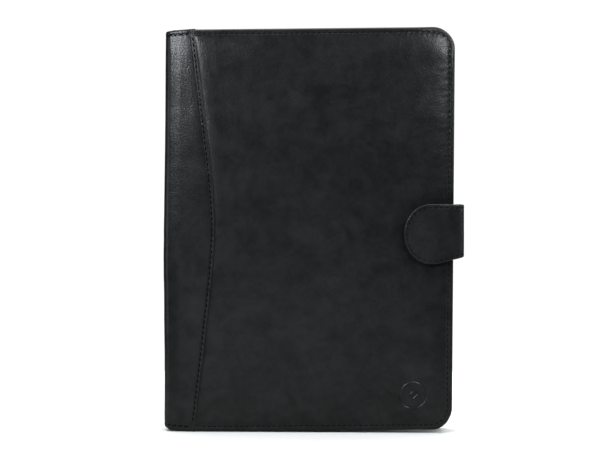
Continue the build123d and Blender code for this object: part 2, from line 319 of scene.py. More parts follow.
def stitches(name, rows, material, length=2.4, radius=0.25, slant=14.0):
    """Single stitches along rows. A row is (points, outward normals, distance along it, stitch length);
    its stitches lie half way between whole numbers of stitch lengths."""
    points, flat, faces = [], [], []
    for line, normals, run, step in rows:
        line = np.asarray(line, float)
        normals = np.asarray(normals, float)

        def read(table, at):
            return np.array([np.interp(at, run, table[:, axis]) for axis in range(3)])

        for k in range(math.ceil(run[0] / step), math.floor(run[-1] / step)):
            at = (k + 0.5) * step
            centre = read(line, at)
            normal = read(normals, at)
            normal /= np.linalg.norm(normal)
            along = read(line, at + 0.2) - read(line, at - 0.2)
            along -= normal * along.dot(normal)
            along /= np.linalg.norm(along)
            across = np.cross(normal, along)
            turn = math.radians(slant + 4.0 * noise.noise(Vector((k * 0.7, len(faces) * 0.01, 4.0))))
            along, across = (
                along * math.cos(turn) + across * math.sin(turn),
                across * math.cos(turn) - along * math.sin(turn),
            )
            first = len(points)
            for t, lift, size in STITCH_PROFILE:
                for side in range(STITCH_SIDES):
                    angle = 2 * math.pi * side / STITCH_SIDES
                    out = across * math.cos(angle) + normal * (0.8 * math.sin(angle))
                    points.append(centre + along * (t * length) + normal * lift + out * (radius * size))
                    flat.append((t * length + k * PITCH, radius * angle, 0.0))
            count = len(STITCH_PROFILE) * STITCH_SIDES
            faces += tube_faces(first + np.arange(count).reshape(-1, STITCH_SIDES))
    return make_piece(name, points, faces, material, flat=flat)


def straight_row(points, normal):
    """A row of stitches along a straight line of points."""
    points = np.asarray(points, float)
    run = lengths(points)
    step = run[-1] / max(round(run[-1] / PITCH), 1)
    return points, np.tile(np.asarray(normal, float), (len(points), 1)), run, step


# ---- materials
class Shader:
    """A node material with short calls for the nodes that the materials here use."""

    def __init__(self, name, **settings):
        self.material = bpy.data.materials.new(name)
        self.material.use_nodes = True
        self.nodes = self.material.node_tree.nodes
        self.links = self.material.node_tree.links
        self.surface = self.nodes["Principled BSDF"]
        for socket, value in settings.items():
            self.surface.inputs[socket.replace("_", " ")].default_value = value

    def node(self, kind, links=None, settings=None, values=None):
        node = self.nodes.new(kind)
        for key, value in (settings or {}).items():
            setattr(node, key, value)
        for key, value in (values or {}).items():
            node.inputs[key].default_value = value
        for key, socket in (links or {}).items():
            self.links.new(socket, node.inputs[key])
        return node

    def flat(self, stretch=(1.0, 1.0, 1.0)):
        """Where a point lies on its flat sheet, in millimetres."""
        where = self.node("ShaderNodeAttribute", settings={"attribute_name": "flat"})
        mapping = self.node("ShaderNodeMapping", {"Vector": where.outputs["Vector"]})
        mapping.inputs["Scale"].default_value = stretch
        return mapping.outputs["Vector"]

    def shade(self):
        """How much painted shade a point takes, from 0 to 1: the closed tab's shadow."""
        return self.node("ShaderNodeAttribute", settings={"attribute_name": "shade"}).outputs["Fac"]

    def noise(self, vector, size, detail=3.0, roughness=0.5, distortion=0.0):
        values = {"Scale": 1.0 / size, "Detail": detail, "Roughness": roughness, "Distortion": distortion}
        return self.node("ShaderNodeTexNoise", {"Vector": vector}, values=values).outputs["Fac"]

    def cells(self, vector, size):
        """Rounded domes, 0 at their tops and rising to 0.5 or so between them."""
        node = self.node("ShaderNodeTexVoronoi", {"Vector": vector}, values={"Scale": 1.0 / size})
        square = self.node("ShaderNodeMath", {0: node.outputs["Distance"]}, {"operation": "POWER"}, {1: 2.0})
        return square.outputs[0]

    def ramp(self, value, low, high, to_low, to_high):
        values = {"From Min": low, "From Max": high, "To Min": to_low, "To Max": to_high}
        return self.node("ShaderNodeMapRange", {"Value": value}, values=values).outputs["Result"]

    def mix(self, value, dark, light):
        node = self.node("ShaderNodeMix", {"Factor": value}, {"data_type": "RGBA"})
        node.inputs["A"].default_value = (*dark, 1.0)
        node.inputs["B"].default_value = (*light, 1.0)
        return node.outputs["Result"]

    def total(self, *parts):
        """Sum of (socket, weight) pairs."""
        result = None
        for socket, weight in parts:
            scaled = self.node("ShaderNodeMath", {0: socket}, {"operation": "MULTIPLY"}, {1: weight})
            if result is None:
                result = scaled.outputs[0]
            else:
                result = self.node("ShaderNodeMath", {0: result, 1: scaled.outputs[0]}).outputs[0]
        return result

    def bump(self, height, deep):
        """deep is the height, in millimetres, of a change of 1."""
        values = {"Distance": deep * MM, "Strength": 1.0}
        node = self.node("ShaderNodeBump", {"Height": height}, values=values)
        self.links.new(node.outputs["Normal"], self.surface.inputs["Normal"])

    def set(self, socket, value):
        self.links.new(value, self.surface.inputs[socket])


HIDE_DARK, HIDE_LIGHT = (0.004, 0.0041, 0.0042), (0.009, 0.0093, 0.0096)
TAB_SHADOW_PAINT = 0.2             # how much of the sheen is painted away round the closed tab, as its shadow


def leather(name, grain, grain_deep, shine, crease_deep=0.05):
    """Black hide: pebble grain, pores, faint creases, and a sheen that varies in soft clouds.

    shine is its mean roughness; at 0.275 or less the renderer's denoiser leaves speckles on it.
    """
    look = Shader(name)
    flat = look.flat()
    clouds = look.noise(flat, 22.0, 5.0, 0.62, 0.8)
    patches = look.noise(flat, 7.0, 3.0, 0.55, 0.8)
    pebbles = look.cells(flat, grain)
    pores = look.noise(flat, grain * 0.45, 2.0)
    creases = look.noise(look.flat((1.0, 0.45, 1.0)), 6.0, 5.0, 0.58, 0.5)
    tone = look.total((clouds, 0.6), (patches, 0.4))
    look.set("Base Color", look.mix(look.ramp(tone, 0.35, 0.65, 0.0, 1.0), HIDE_DARK, HIDE_LIGHT))
    look.set("Roughness", look.ramp(tone, 0.3, 0.7, shine - 0.018, shine + 0.027))
    glint = look.ramp(tone, 0.35, 0.65, 0.35, 0.49)
    # painted shade: the sheen is lowered round the closed tab, standing in for its shadow
    look.set("Specular IOR Level", look.total((glint, 1.0), (look.shade(), -TAB_SHADOW_PAINT)))
    look.bump(look.total((pebbles, -grain_deep), (pores, grain_deep * 0.35), (creases, crease_deep)), 1.0)
    return look.material


def thread_material():
    look = Shader("thread", Specular_IOR_Level=0.06)
    flat = look.flat()
    twist = look.node("ShaderNodeTexWave", {"Vector": flat}, {"bands_direction": "DIAGONAL"}, {"Scale": 0.9})
    fibre = look.noise(flat, 0.25, 2.0)
    look.set("Base Color", look.mix(fibre, (0.0015, 0.0015, 0.0017), (0.005, 0.005, 0.0054)))
    look.set("Roughness", look.ramp(fibre, 0.3, 0.7, 0.7, 0.85))
    look.bump(look.total((twist.outputs["Fac"], 0.05), (fibre, 0.02)), 1.0)
    return look.material


WAVE_UNIT = 0.31416      # scale at which the wave texture repeats once in a unit


def cloth(name, dark, light, weave=0.45, roughness=0.8, deep=0.05):
    """A woven cloth: two crossing sets of threads with slubs."""
    look = Shader(name, Specular_IOR_Level=0.25, Sheen_Weight=0.15, Sheen_Roughness=0.5)
    flat = look.flat()
    bands = []
    for direction in ("X", "Z"):
        values = {"Scale": WAVE_UNIT / weave, "Distortion": 0.6}
        wave = look.node("ShaderNodeTexWave", {"Vector": flat}, {"bands_direction": direction}, values)
        bands.append(wave.outputs["Fac"])
    slubs = look.noise(flat, 3.0, 3.0)
    height = look.total((bands[0], 0.5), (bands[1], 0.5))
    look.set("Base Color", look.mix(look.total((height, 0.6), (slubs, 0.4)), dark, light))
    look.set("Roughness", look.ramp(slubs, 0.3, 0.7, roughness - 0.08, roughness + 0.08))
    look.bump(height, deep)
    return look.material


def fibrous(name, dark, light, size, roughness=0.85, deep=0.02):
    """Paper, card, board and foam: fibres or cells in two shades."""
    look = Shader(name, Specular_IOR_Level=0.2)
    flat = look.flat()
    fine = look.noise(flat, size, 5.0, 0.65)
    broad = look.noise(flat, size * 14, 2.0)
    look.set("Base Color", look.mix(look.total((fine, 0.5), (broad, 0.5)), dark, light))
    look.set("Roughness", look.ramp(fine, 0.3, 0.7, roughness - 0.06, roughness + 0.06))
    look.bump(fine, deep)
    return look.material


def snap_metal():
    look = Shader("snap_metal", Metallic=1.0)
    where = look.node("ShaderNodeTexCoord").outputs["Object"]
    brushed = look.node("ShaderNodeMapping", {"Vector": where})
    brushed.inputs["Scale"].default_value = (900.0, 900.0, 9000.0)
    lines = look.node("ShaderNodeTexNoise", {"Vector": brushed.outputs["Vector"]}, values={"Scale": 1.0})
    look.set("Base Color", look.mix(lines.outputs["Fac"], (0.42, 0.42, 0.43), (0.62, 0.62, 0.63)))
    look.set("Roughness", look.ramp(lines.outputs["Fac"], 0.3, 0.7, 0.24, 0.38))
    look.bump(lines.outputs["Fac"], 0.004)
    return look.material


def by_place(material):
    """The same material for a CAD node, which has no "flat" attribute: it reads the node's own place."""
    copy = material.copy()
    copy.name = material.name + "_solid"
    tree = copy.node_tree
    place = tree.nodes.new("ShaderNodeTexCoord")
    for node in list(tree.nodes):
        if node.bl_idname == "ShaderNodeAttribute" and node.attribute_name == "flat":
            scale = tree.nodes.new("ShaderNodeVectorMath")
            scale.operation = "SCALE"
            scale.inputs["Scale"].default_value = 1.0 / MM
            tree.links.new(place.outputs["Object"], scale.inputs[0])
            for link in list(node.outputs["Vector"].links):
                tree.links.new(scale.outputs[0], link.to_socket)
            tree.nodes.remove(node)
    return copy


COVER_LEATHER = leather("cover_leather", 0.75, 0.045, 0.3)
SPINE_LEATHER = leather("spine_leather", 0.85, 0.04, 0.295, 0.015)
TAB_LEATHER = leather("tab_leather", 0.8, 0.05, 0.3)
STRAP_LINING = leather("strap_lining", 0.5, 0.02, 0.6, 0.02)
POCKET_LEATHER = leather("pocket_leather", 0.6, 0.025, 0.52, 0.03)
THREAD = thread_material()
LINING = cloth("lining", (0.008, 0.008, 0.009), (0.03, 0.03, 0.033))
BOOK_CLOTH = cloth("binding_tape", (0.01, 0.01, 0.012), (0.035, 0.035, 0.04), weave=0.6)
PAPER = fibrous("paper", (0.72, 0.7, 0.63), (0.86, 0.85, 0.79), 0.5)
CARD = fibrous("card", (0.2, 0.17, 0.13), (0.32, 0.28, 0.22), 0.4)
BOARD = fibrous("board", (0.24, 0.22, 0.19), (0.42, 0.4, 0.36), 0.6)
FOAM = fibrous("padding", (0.1, 0.1, 0.1), (0.24, 0.24, 0.24), 0.3, 0.95, 0.2)
METAL = snap_metal()


# ---- covers
# (inset from the edge, depth under the outer face): the panel, the stitch line's channel, the rolled
# edge, and the leather turned in behind it.
RIM = [
    (4.9, 0.0), (4.2, 0.02), (3.7, 0.06), (3.3, 0.15), (2.9, 0.26), (2.5, 0.16), (2.1, 0.05),
    (1.7, 0.02), (1.25, 0.06), (0.85, 0.2), (0.5, 0.42), (0.22, 0.75), (0.05, 1.15), (0.0, 1.6),
]
COVER_RIM = [(CORNER_R, 0.0), (10.0, 0.0), (8.0, 0.0), (6.3, 0.0)] + RIM + [
    (0.0, 2.9), (0.05, 3.3), (0.22, 3.75), (0.55, 4.1), (1.0, 4.25), (1.8, 4.3), (2.6, 4.3),
]
UNDER_OVERLAY = 0.35     # the panel's edge is drawn in this much where the overlay wraps it
CROWN = 1.05             # how far the padding lifts the panel
PUCKER = 0.08            # how far each stitch pulls the leather in
TAB_DENT = 0.35          # how far the closed tab presses into it
CORNER_SLOPE = 0.12      # how steeply the panel is drawn down into its two round corners
SKEW = {-1: 1.4, 1: 0.8}  # how far a cover's fore-edge leans from top to bottom
TALLER = 0.0045          # how much taller a cover is at its fore-edge
ROUNDER = 0.3            # how much rounder its top corner is than the board's
FOOT_LIFT = 2.1          # how far its bottom edge rises there
SOFT_EDGE = 0.9          # depth at which relief fades out over an edge
LAYER = 40.0             # sets the back's grain apart from the front's


def spaced(start, stop, step):
    count = max(int(round((stop - start) / step)), 1)
    return np.linspace(start, stop, count + 1)


def mark_depth(x, z):
    """A plain ring with a small diamond in it, pressed into the leather."""
    r = np.hypot(x - MARK_X, z - MARK_Z)
    ring = bump_at(r, MARK_R, MARK_LINE)
    diamond = np.abs(x - MARK_X) + np.abs(z - MARK_Z)
    inner = bump_at(diamond, MARK_DIAMOND, MARK_LINE * 0.8)
    dish = 0.2 * smooth((MARK_R - r) / 1.5)
    return MARK_DEEP * (np.maximum(ring, 0.8 * inner) + dish)


def cover_relief(x, z, inset, side):
    """How far the padded panel stands out of its flat face: crown, waves, pulls at its stitches,
    creases and a fall at its round corners, and what is pressed into it."""
    past_seam = x - seam_x(z)
    free = (1 - 0.4 * np.exp(-np.clip(past_seam, 0.0, None) / 2.2)) * smooth((past_seam + 1.2) / 1.2)
    crown = CROWN * (1 - np.exp(-np.clip(inset - STITCH_IN, 0.0, None) / 5.0)) * free - spine_fall(x, z)
    waves = 0.32 * rough(x, z, 70.0, 3.0 + side) + 0.09 * rough(x, z, 17.0, 8.0 + side)
    inner = smooth((inset - STITCH_IN) / 9.0) * free
    pull = 0.07 * rough(x * 0.45, z * 1.6, 5.0, 21.0 + side, 2) * bump_at(inset, 6.5, 4.5) * free
    corner_x = x - (FRONT_HIGH[0] - CORNER_R)
    corner_z = np.abs(z - FRONT_HIGH[2] / 2) - (FRONT_HIGH[2] / 2 - CORNER_R)
    turn = np.arctan2(corner_z, corner_x)
    rays = np.sin(26.0 * turn + 3.0 * np.sin(5.0 * turn)) * bump_at(inset, 5.6, 2.4)
    rays = rays * smooth(corner_x / 4.0) * smooth(corner_z / 4.0)
    out = (corner_x + corner_z) / math.sqrt(2)
    drawn_in = 1.5 * (np.logaddexp(0.0, (out - 2.0) / 1.5) - np.logaddexp(0.0, (out - 8.8) / 1.5))
    height = crown + waves * inner + pull + 0.06 * rays - CORNER_SLOPE * drawn_in * (corner_x > -CORNER_R)
    if side < 0:
        height = height - mark_depth(x, z) - TAB_DENT * (1 - smooth((from_tab(x, z) + 1.0) / 10.0))
    return height


def make_cover_leather(side):
    """The outer leather of one cover, turned over its board, and the stitches round its edge."""
    low, high = (FRONT_LOW, FRONT_HIGH) if side < 0 else (BACK_LOW, BACK_HIGH)
    name = "front" if side < 0 else "back"
    face_y = low[1] if side < 0 else high[1]
    x_start = low[0]
    half_height = high[2] / 2
    overlay_end = seam_x(high[2])

    def half(u):
        tucked = 1 - smooth((x_start + u - overlay_end + 1.5) / 1.5)
        return half_height - UNDER_OVERLAY * tucked

    us = spaced(0.0, high[0] - CORNER_R - x_start, PANEL_STEP)
    column = spaced(half_height - CORNER_R, CORNER_R - half_height, -PANEL_STEP)[1:-1]
    if side < 0:
        for _ in range(2):
            us = refine(us, MARK_X - x_start)
            column = refine(column, MARK_Z - half_height)
    rings, grid = free_edge_panel(us, half, (CORNER_R, CORNER_R), column, COVER_RIM, 14)

    insets, depths = np.array(COVER_RIM).T[:, :, None]
    stitch_row = int(np.argmin(np.abs(insets[:, 0] - STITCH_IN)))
    run = lengths(rings[stitch_row])
    step = run[-1] / round(run[-1] / PITCH)
    reach = np.where(insets > STITCH_IN, 1.3, 0.8)
    pucker = PUCKER * np.cos(2 * np.pi * run / step)[None, :] * bump_at(insets, STITCH_IN, reach)
    open_face = np.clip(1 - depths / SOFT_EDGE, 0.0, 1.0)

    def place(uv, inset, depth, extra):
        x = x_start + uv[..., 0]
        z = half_height + uv[..., 1]
        out = cover_relief(x, z, inset, side) * extra[0] - extra[1]
        y = face_y + side * (out - depth)
        across = (x - x_start) / (high[0] - x_start)
        skew = SKEW[side] * (z / high[2] - 0.7) * smooth(across)
        rounder = ROUNDER * smooth((x - high[0] + CORNER_R) / CORNER_R)
        rounder = rounder * smooth((z - high[2] + CORNER_R) / CORNER_R)
        up = z * (1 + TALLER * across) + FOOT_LIFT * across * (1 - z / high[2]) - rounder
        return np.stack([x + skew - rounder, y, up], -1)

    far = high[0] - x_start
    grid_inset = np.minimum(half_height - np.abs(grid[..., 1]), far - grid[..., 0])
    ring_points = place(rings, insets, depths, (open_face, pucker * open_face))
    points = stack(ring_points, place(grid, grid_inset, 0.0, (1.0, 0.0)))
    flat = flat_points(rings, depths, grid, (0.0,))
    flat[:, 2] += LAYER * side
    faces = panel_faces(rings, grid, 1)
    panel = make_piece(f"{name}_panel", points, faces, COVER_LEATHER, flat, facing=(0, side, 0))
    if side < 0:
        paint_tab_shadow(panel.data)
    settle(panel, f"{name}_cover", "cover_leather", f"{name}_leather")

    line = ring_points[stitch_row]
    free = line[:, 0] > seam_x(line[:, 2]) + 0.6
    normals = np.tile([0.0, side, 0.0], (len(line), 1))
    inside = line.copy()
    inside[:, 1] = face_y - side * (COVER + 0.15)
    rows = [(line[free], normals[free], run[free], step), (inside[free], -normals[free], run[free], step)]
    row = stitches(f"{name}_edge_stitches", rows, THREAD)
    settle(row, f"{name}_cover", "thread", f"{name}_edge_stitching")


def from_tab(x, z):
    """Distance from the edge of the closed tab head."""
    beside = np.clip(HEAD_LOW[0] + HEAD_HALF - x, 0.0, None)
    return np.hypot(beside, z - TAB_Z) - HEAD_HALF


def paint_tab_shadow(mesh):
    """Painted shade: the front cover's sheen is a little darker round the closed tab, standing in for the
    tab's shadow.
    """
    places = np.empty(3 * len(mesh.vertices))
    mesh.vertices.foreach_get("co", places)
    x, _, z = places.reshape(-1, 3).T / MM
    shade = 1 - smooth((from_tab(x, z) - 0.5) / 9.0)
    mesh.attributes.new("shade", "FLOAT", "POINT").data.foreach_set("value", shade)


def refine(values, centre, reach=MARK_R + 0.8):
    """More mesh lines where the mark is pressed."""
    values = np.asarray(values, float)
    near = np.abs((values[1:] + values[:-1]) / 2 - centre) < reach
    extra = ((values[1:] + values[:-1]) / 2)[near]
    merged = np.sort(np.concatenate([values, extra]))
    return merged if values[-1] > values[0] else merged[::-1]


# ---- spine leather and its overlays
SEAM_ROLL = [
    (3.6, 0.0), (3.1, 0.04), (2.8, 0.12), (2.5, 0.3), (2.2, 0.42), (1.95, 0.36), (1.65, 0.18),
    (1.35, 0.02), (1.1, -0.05), (0.85, 0.0), (0.6, 0.2), (0.35, 0.5), (0.12, 0.85), (0.0, 1.15), (0.15, 1.7),
]
OVERLAY_RIM = [(6.2, 0.0)] + RIM + [(0.0, 2.2), (0.25, 2.7)]
OVERLAY_TOP = 0.4        # the overlay stands this much above the panel's top edge
END_FALL = 0.8           # how much thinner the spine panel is at its ends
SPINE_BOW = 0.8          # how far the middle of the spine bows out
BOARD_SHORT = 1.6        # how much the spine's board is shortened at each fold
SPINE_OUT = 0.6          # how far the spine stands out of its board
SPINE_LEAN = 1.1         # how far the spine's foot stands out beyond its top
SEAM_PUCKER = 0.03       # how far each stitch of the curved seam pulls the leather in
END_SLOPE = 0.062        # how the overlay's ends run in from its seam to the spine
CORNER_REACH = 5.0
FOOT_ROUND = 0.9         # rounding of the spine's corners at its foot


def spine_path(s):
    """Section of the spine leather's front half, at a distance from mid-spine: (x, y) and outward normal."""
    angle = np.clip((s - SPINE_FLAT) / FOLD_R, 0.0, math.pi / 2)
    nx = -np.cos(angle)
    ny = -np.sin(angle)
    x = SPINE_X + FOLD_R + FOLD_R * nx + np.clip(s - FOLD_END, 0.0, None)
    y = np.where(s > SPINE_FLAT, FLAP_FACE + FOLD_R + FOLD_R * ny, MIDDLE_Y - np.minimum(s, SPINE_FLAT))
    return x, y, nx, ny


def make_spine_half(side):
    """Half of the spine leather, from mid-spine round the fold to its curved edge on a cover."""
    name = "front" if side < 0 else "back"
    height = (FRONT_HIGH if side < 0 else BACK_HIGH)[2] + OVERLAY_TOP
    fixed = spaced(0.0, FOLD_END + 4.0, 0.7)
    steps = np.linspace(0.0, 1.0, 20)[1:-1]

    rim_z, rim_deep = np.array(OVERLAY_RIM).T
    inner_z = spaced(rim_z[0], height - rim_z[0], STEP)
    z = np.concatenate([rim_z[::-1], inner_z[1:-1], height - rim_z])[:, None]
    edge_deep = np.concatenate([rim_deep[::-1], np.zeros(len(inner_z) - 2), rim_deep])[:, None]

    seam_s = FOLD_END + seam_x(z) - (SPINE_X + FOLD_R)
    roll, roll_deep = np.array(SEAM_ROLL).T
    to_roll = fixed[-1] + steps[None, :] * (seam_s - roll[0] - fixed[-1])
    s = np.concatenate([np.broadcast_to(fixed, (len(z), len(fixed))), to_roll, seam_s - roll[None, :]], 1)
    side_deep = np.concatenate([np.zeros(len(fixed) + len(steps)), roll_deep])[None, :]
    from_seam = seam_s - s

    from_end = np.minimum(z, height - z)
    hold = np.clip(1 - edge_deep / SOFT_EDGE, 0.0, 1.0)
    bow_zone = 1 - smooth((s - FOLD_END + 5.5) / 12.0)
    seam_run = lengths(np.stack([seam_x(z[:, 0]), z[:, 0]], 1))
    seam_pucker = np.cos(2 * np.pi * seam_run / PITCH)[:, None]
    seam_pucker = SEAM_PUCKER * seam_pucker * bump_at(from_seam, SEAM_STITCH_IN, 0.8)
    edge_pucker = PUCKER * np.cos(2 * np.pi * s / PITCH) * bump_at(from_end, STITCH_IN, 0.9)
    crown = 0.25 * smooth(from_seam / 7.0) * smooth((s - FOLD_END + 3.0) / 8.0)
    thinner = END_FALL * np.exp(-np.clip(from_end - STITCH_IN, 0.0, None) / 9.0)
    crown = crown - thinner * smooth((s - FOLD_END + 3.0) / 6.0)
    waves = 0.12 * rough(s, z + 0 * s, 22.0, 31.0 + side) * smooth(from_end / 9.0) * smooth(from_seam / 6.0)
    drawn = 0.1 * bow_zone * (1 - smooth(from_end / 2.0))
    x, y, nx, ny = spine_path(s)
    fall = spine_fall(x, z) * np.clip(s / SPINE_FLAT, 0.0, 1.0)
    deep = edge_deep + side_deep + (seam_pucker + edge_pucker - crown - waves) * hold + drawn
    bow = SPINE_BOW * bump_at(z, 108.0, 45.0) * bow_zone
    lean = SPINE_LEAN * (0.6 - z / height) * (1 - smooth((s - FOLD_END) / 12.0))
    corner = np.clip((SPINE_X + CORNER_REACH - x) / CORNER_REACH, 0.0, 1.0) ** 2
    slope = END_SLOPE * (seam_x(z) - x)
    rise = (slope + FOOT_ROUND * corner) * (1 - smooth(z / 15.0))
    rise = rise - slope * (1 - smooth((height - z) / 15.0))
    x = x - nx * deep - bow - lean - SPINE_OUT * bow_zone
    y = y - ny * deep + fall
    if side > 0:
        y = 2 * MIDDLE_Y - y
    points = np.stack(np.broadcast_arrays(x, y, z + rise), -1)
    flat = np.stack(np.broadcast_arrays(s * (1 if side < 0 else -1), z, -edge_deep - side_deep), -1)
    faces = quads(np.arange(points.shape[0] * points.shape[1]).reshape(points.shape[:2]))
    title = f"spine_overlay_{name}"
    sheet = make_piece(title, stack(points), faces, SPINE_LEATHER, stack(flat), (-1, side, 0))
    fold_y = FLAP_FACE if side < 0 else 2 * MIDDLE_Y - FLAP_FACE
    hinge = {
        "start": Vector((SPINE_X, fold_y - side * FOLD_R, 0.0)) * MM,
        "end": Vector((SPINE_X + FOLD_R, fold_y, 0.0)) * MM,
    }
    bodies = ("spine", f"{name}_cover")
    if side > 0:
        hinge = {"start": hinge["end"], "end": hinge["start"]}
        bodies = ("back_cover", "spine")
    settle_bent(sheet, bodies, hinge, "spine_leather", f"{name}_spine_flap", "spine_leather")

    normal = np.stack(np.broadcast_arrays(nx, ny * (1 if side < 0 else -1), 0 * s), -1)
    rows = []
    for line_z in (STITCH_IN, height - STITCH_IN):
        row = int(np.argmin(np.abs(z[:, 0] - line_z)))
        keep = from_seam[row] > 1.0
        rows.append((points[row][keep], normal[row][keep], s[row][keep], PITCH))
    column = s.shape[1] - len(SEAM_ROLL) + int(np.argmin(np.abs(roll - SEAM_STITCH_IN)))
    tall = (from_end[:, 0] > STITCH_IN + 1.2) & (edge_deep[:, 0] < 0.3)
    rows.append((points[:, column][tall], normal[:, column][tall], seam_run[tall], PITCH))
    thread = stitches(f"spine_stitches_{name}", rows, THREAD, length=2.5, radius=0.42)
    settle_bent(thread, bodies, hinge, "thread", f"{name}_seam_stitching", "spine_edge_stitching")
    make_gutter(name, side, bodies, hinge)


def make_gutter(name, side, bodies, hinge):
    """Lining that lies in the fold, behind the spine leather, between two boards."""
    s = spaced(FOLD_END - 10.0, FOLD_END + 4.5, 0.5)[None, :]
    top = FRONT_HIGH[2]
    z = np.array([4.2, 4.5, *spaced(8.0, top - 8.0, 4.0), top - 3.5, top - 3.2])[:, None]
    layers = []
    for deep in (1.5, 1.9):
        x, y, nx, ny = spine_path(s)
        fall = spine_fall(x, z) * np.clip(s / SPINE_FLAT, 0.0, 1.0)
        x = x - nx * deep
        y = y - ny * deep + fall
        if side > 0:
            y = 2 * MIDDLE_Y - y
        layers.append(np.stack(np.broadcast_arrays(x, y, z), -1))
    points = np.concatenate([layers[0], layers[1][::-1]], 0)
    index = np.arange(points.shape[0] * points.shape[1]).reshape(points.shape[:2])
    faces = quads(np.concatenate([index, index[:1]], 0))
    faces += [index[:, 0].tolist(), index[:, -1].tolist()]
    flat = np.stack(np.broadcast_arrays(s + 0 * points[..., 0], points[..., 2], 0 * points[..., 0]), -1)
    gutter = make_piece(f"fold_lining_{name}", stack(points), faces, LINING, stack(flat))
    settle_bent(gutter, bodies, hinge, "lining")


def make_linings(boards):
    """Cloth lining of both covers and the spine, wrapped over the boards' edges at the folds."""
    for side, name, low, high in ((-1, "front", FRONT_LOW, FRONT_HIGH), (1, "back", BACK_LOW, BACK_HIGH)):
        inner = high[1] if side < 0 else low[1]
        across, up = (low[0] - 0.15, high[0] - 1.5), (1.5, high[2] - 1.5)
        y_span = (inner + side * 0.7, inner - side * 0.05)
        sheet = soft_plate(f"{name}_lining_cloth", across, up, (0.6, CORNER_R - 1.5), y_span, LINING)
        settle(sheet, f"{name}_cover", "lining", f"{name}_lining")
        outer = inner + side * (COVER - 1.3)
        section = [(low[0] - 0.15, inner - side * 0.02), (low[0] - 0.15, outer), (low[0] + 0.1, outer),
                   (low[0] + 0.1, inner - side * 0.02)]
        edge = extrusion(f"{name}_lining_edge", section, 3.4, high[2] - 3.2, LINING)
        settle(edge, f"{name}_cover", "lining")
    board_low, board_high = corners("spine_board")
    board_low[1] += BOARD_SHORT
    board_high[1] -= BOARD_SHORT
    left, right = board_low[0], board_low[0] + 1.6
    section = [(left, board_low[1]), (right, board_low[1]), (right, board_high[1]), (left, board_high[1])]
    core = extrusion("spine_board_core", section, board_low[2] + 2.6, board_high[2] - 0.9, BOARD)
    settle(core, "spine", "board", "spine_board")
    lining_low, lining_high = corners("spine_lining")
    section = [
        (board_low[0] + 0.3, board_low[1] - 0.2), (lining_high[0] - 0.2, board_low[1] - 0.2),
        (lining_high[0], board_low[1] + 0.1), (lining_high[0], board_high[1] - 0.1),
        (lining_high[0] - 0.2, board_high[1] + 0.2), (board_low[0] + 0.3, board_high[1] + 0.2),
        (board_low[0] + 0.3, board_high[1] + 0.02), (board_high[0] + 0.1, board_high[1] + 0.02),
        (board_high[0] + 0.1, board_low[1] - 0.02), (board_low[0] + 0.3, board_low[1] - 0.02),
    ]
    wrap = extrusion("spine_lining_cloth", section, lining_low[2] + 2.2, lining_high[2] - 0.6, LINING, 0.2)
    settle(wrap, "spine", "lining", "spine_lining")


def make_boards():
    """Board and foam of each cover, cut a little smaller than the leather that is turned over them."""
    boards = {}
    for name in ("front", "back"):
        for kind, material, inset in (("board", BOARD, 1.5), ("padding", FOAM, 1.9)):
            low, high = corners(f"{name}_{kind}")
            across, up = (low[0] + inset, high[0] - 0.4), (low[2] + inset, high[2] - inset)
            corner = CORNER_R - (FRONT_HIGH[0] - across[1])
            y_span = (low[1], high[1])
            plate = soft_plate(f"{name}_{kind}_sheet", across, up, (0.6, corner), y_span, material, 0.2)
            settle(plate, f"{name}_cover", kind, f"{name}_{kind}")
            if kind == "padding":
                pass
            else:
                boards[name] = plate
    return boards


# ---- strap and tab
TAB_EDGE = [
    (3.6, 0.0), (3.0, 0.01), (2.5, 0.04), (2.0, 0.08), (1.6, 0.06), (1.25, 0.03), (0.85, 0.03),
    (0.5, 0.08), (0.24, 0.24), (0.06, 0.55), (0.0, 0.95),
]
TAB_PUCKER = 0.05        # how far each stitch pulls the strip's leather in


def strap_path(s, end_y):
    """Section of the strap from the middle of its side round one bend: (x, y) and outward normal."""
    way = 1.0 if end_y > 0 else -1.0
    straight = abs(end_y) - STRAP_R
    angle = np.clip((s - straight) / STRAP_R, 0.0, math.pi / 2)
    beyond = np.clip(s - straight - STRAP_R * math.pi / 2, 0.0, None)
    nx = np.cos(angle)
    ny = way * np.sin(angle)
    x = STRAP_HIGH[0] - STRAP_PULL - STRAP_R + STRAP_R * nx - beyond
    y = way * np.minimum(s, straight)
    y = np.where(s > straight, end_y - way * STRAP_R + STRAP_R * ny, y)
    return x, y, nx, ny


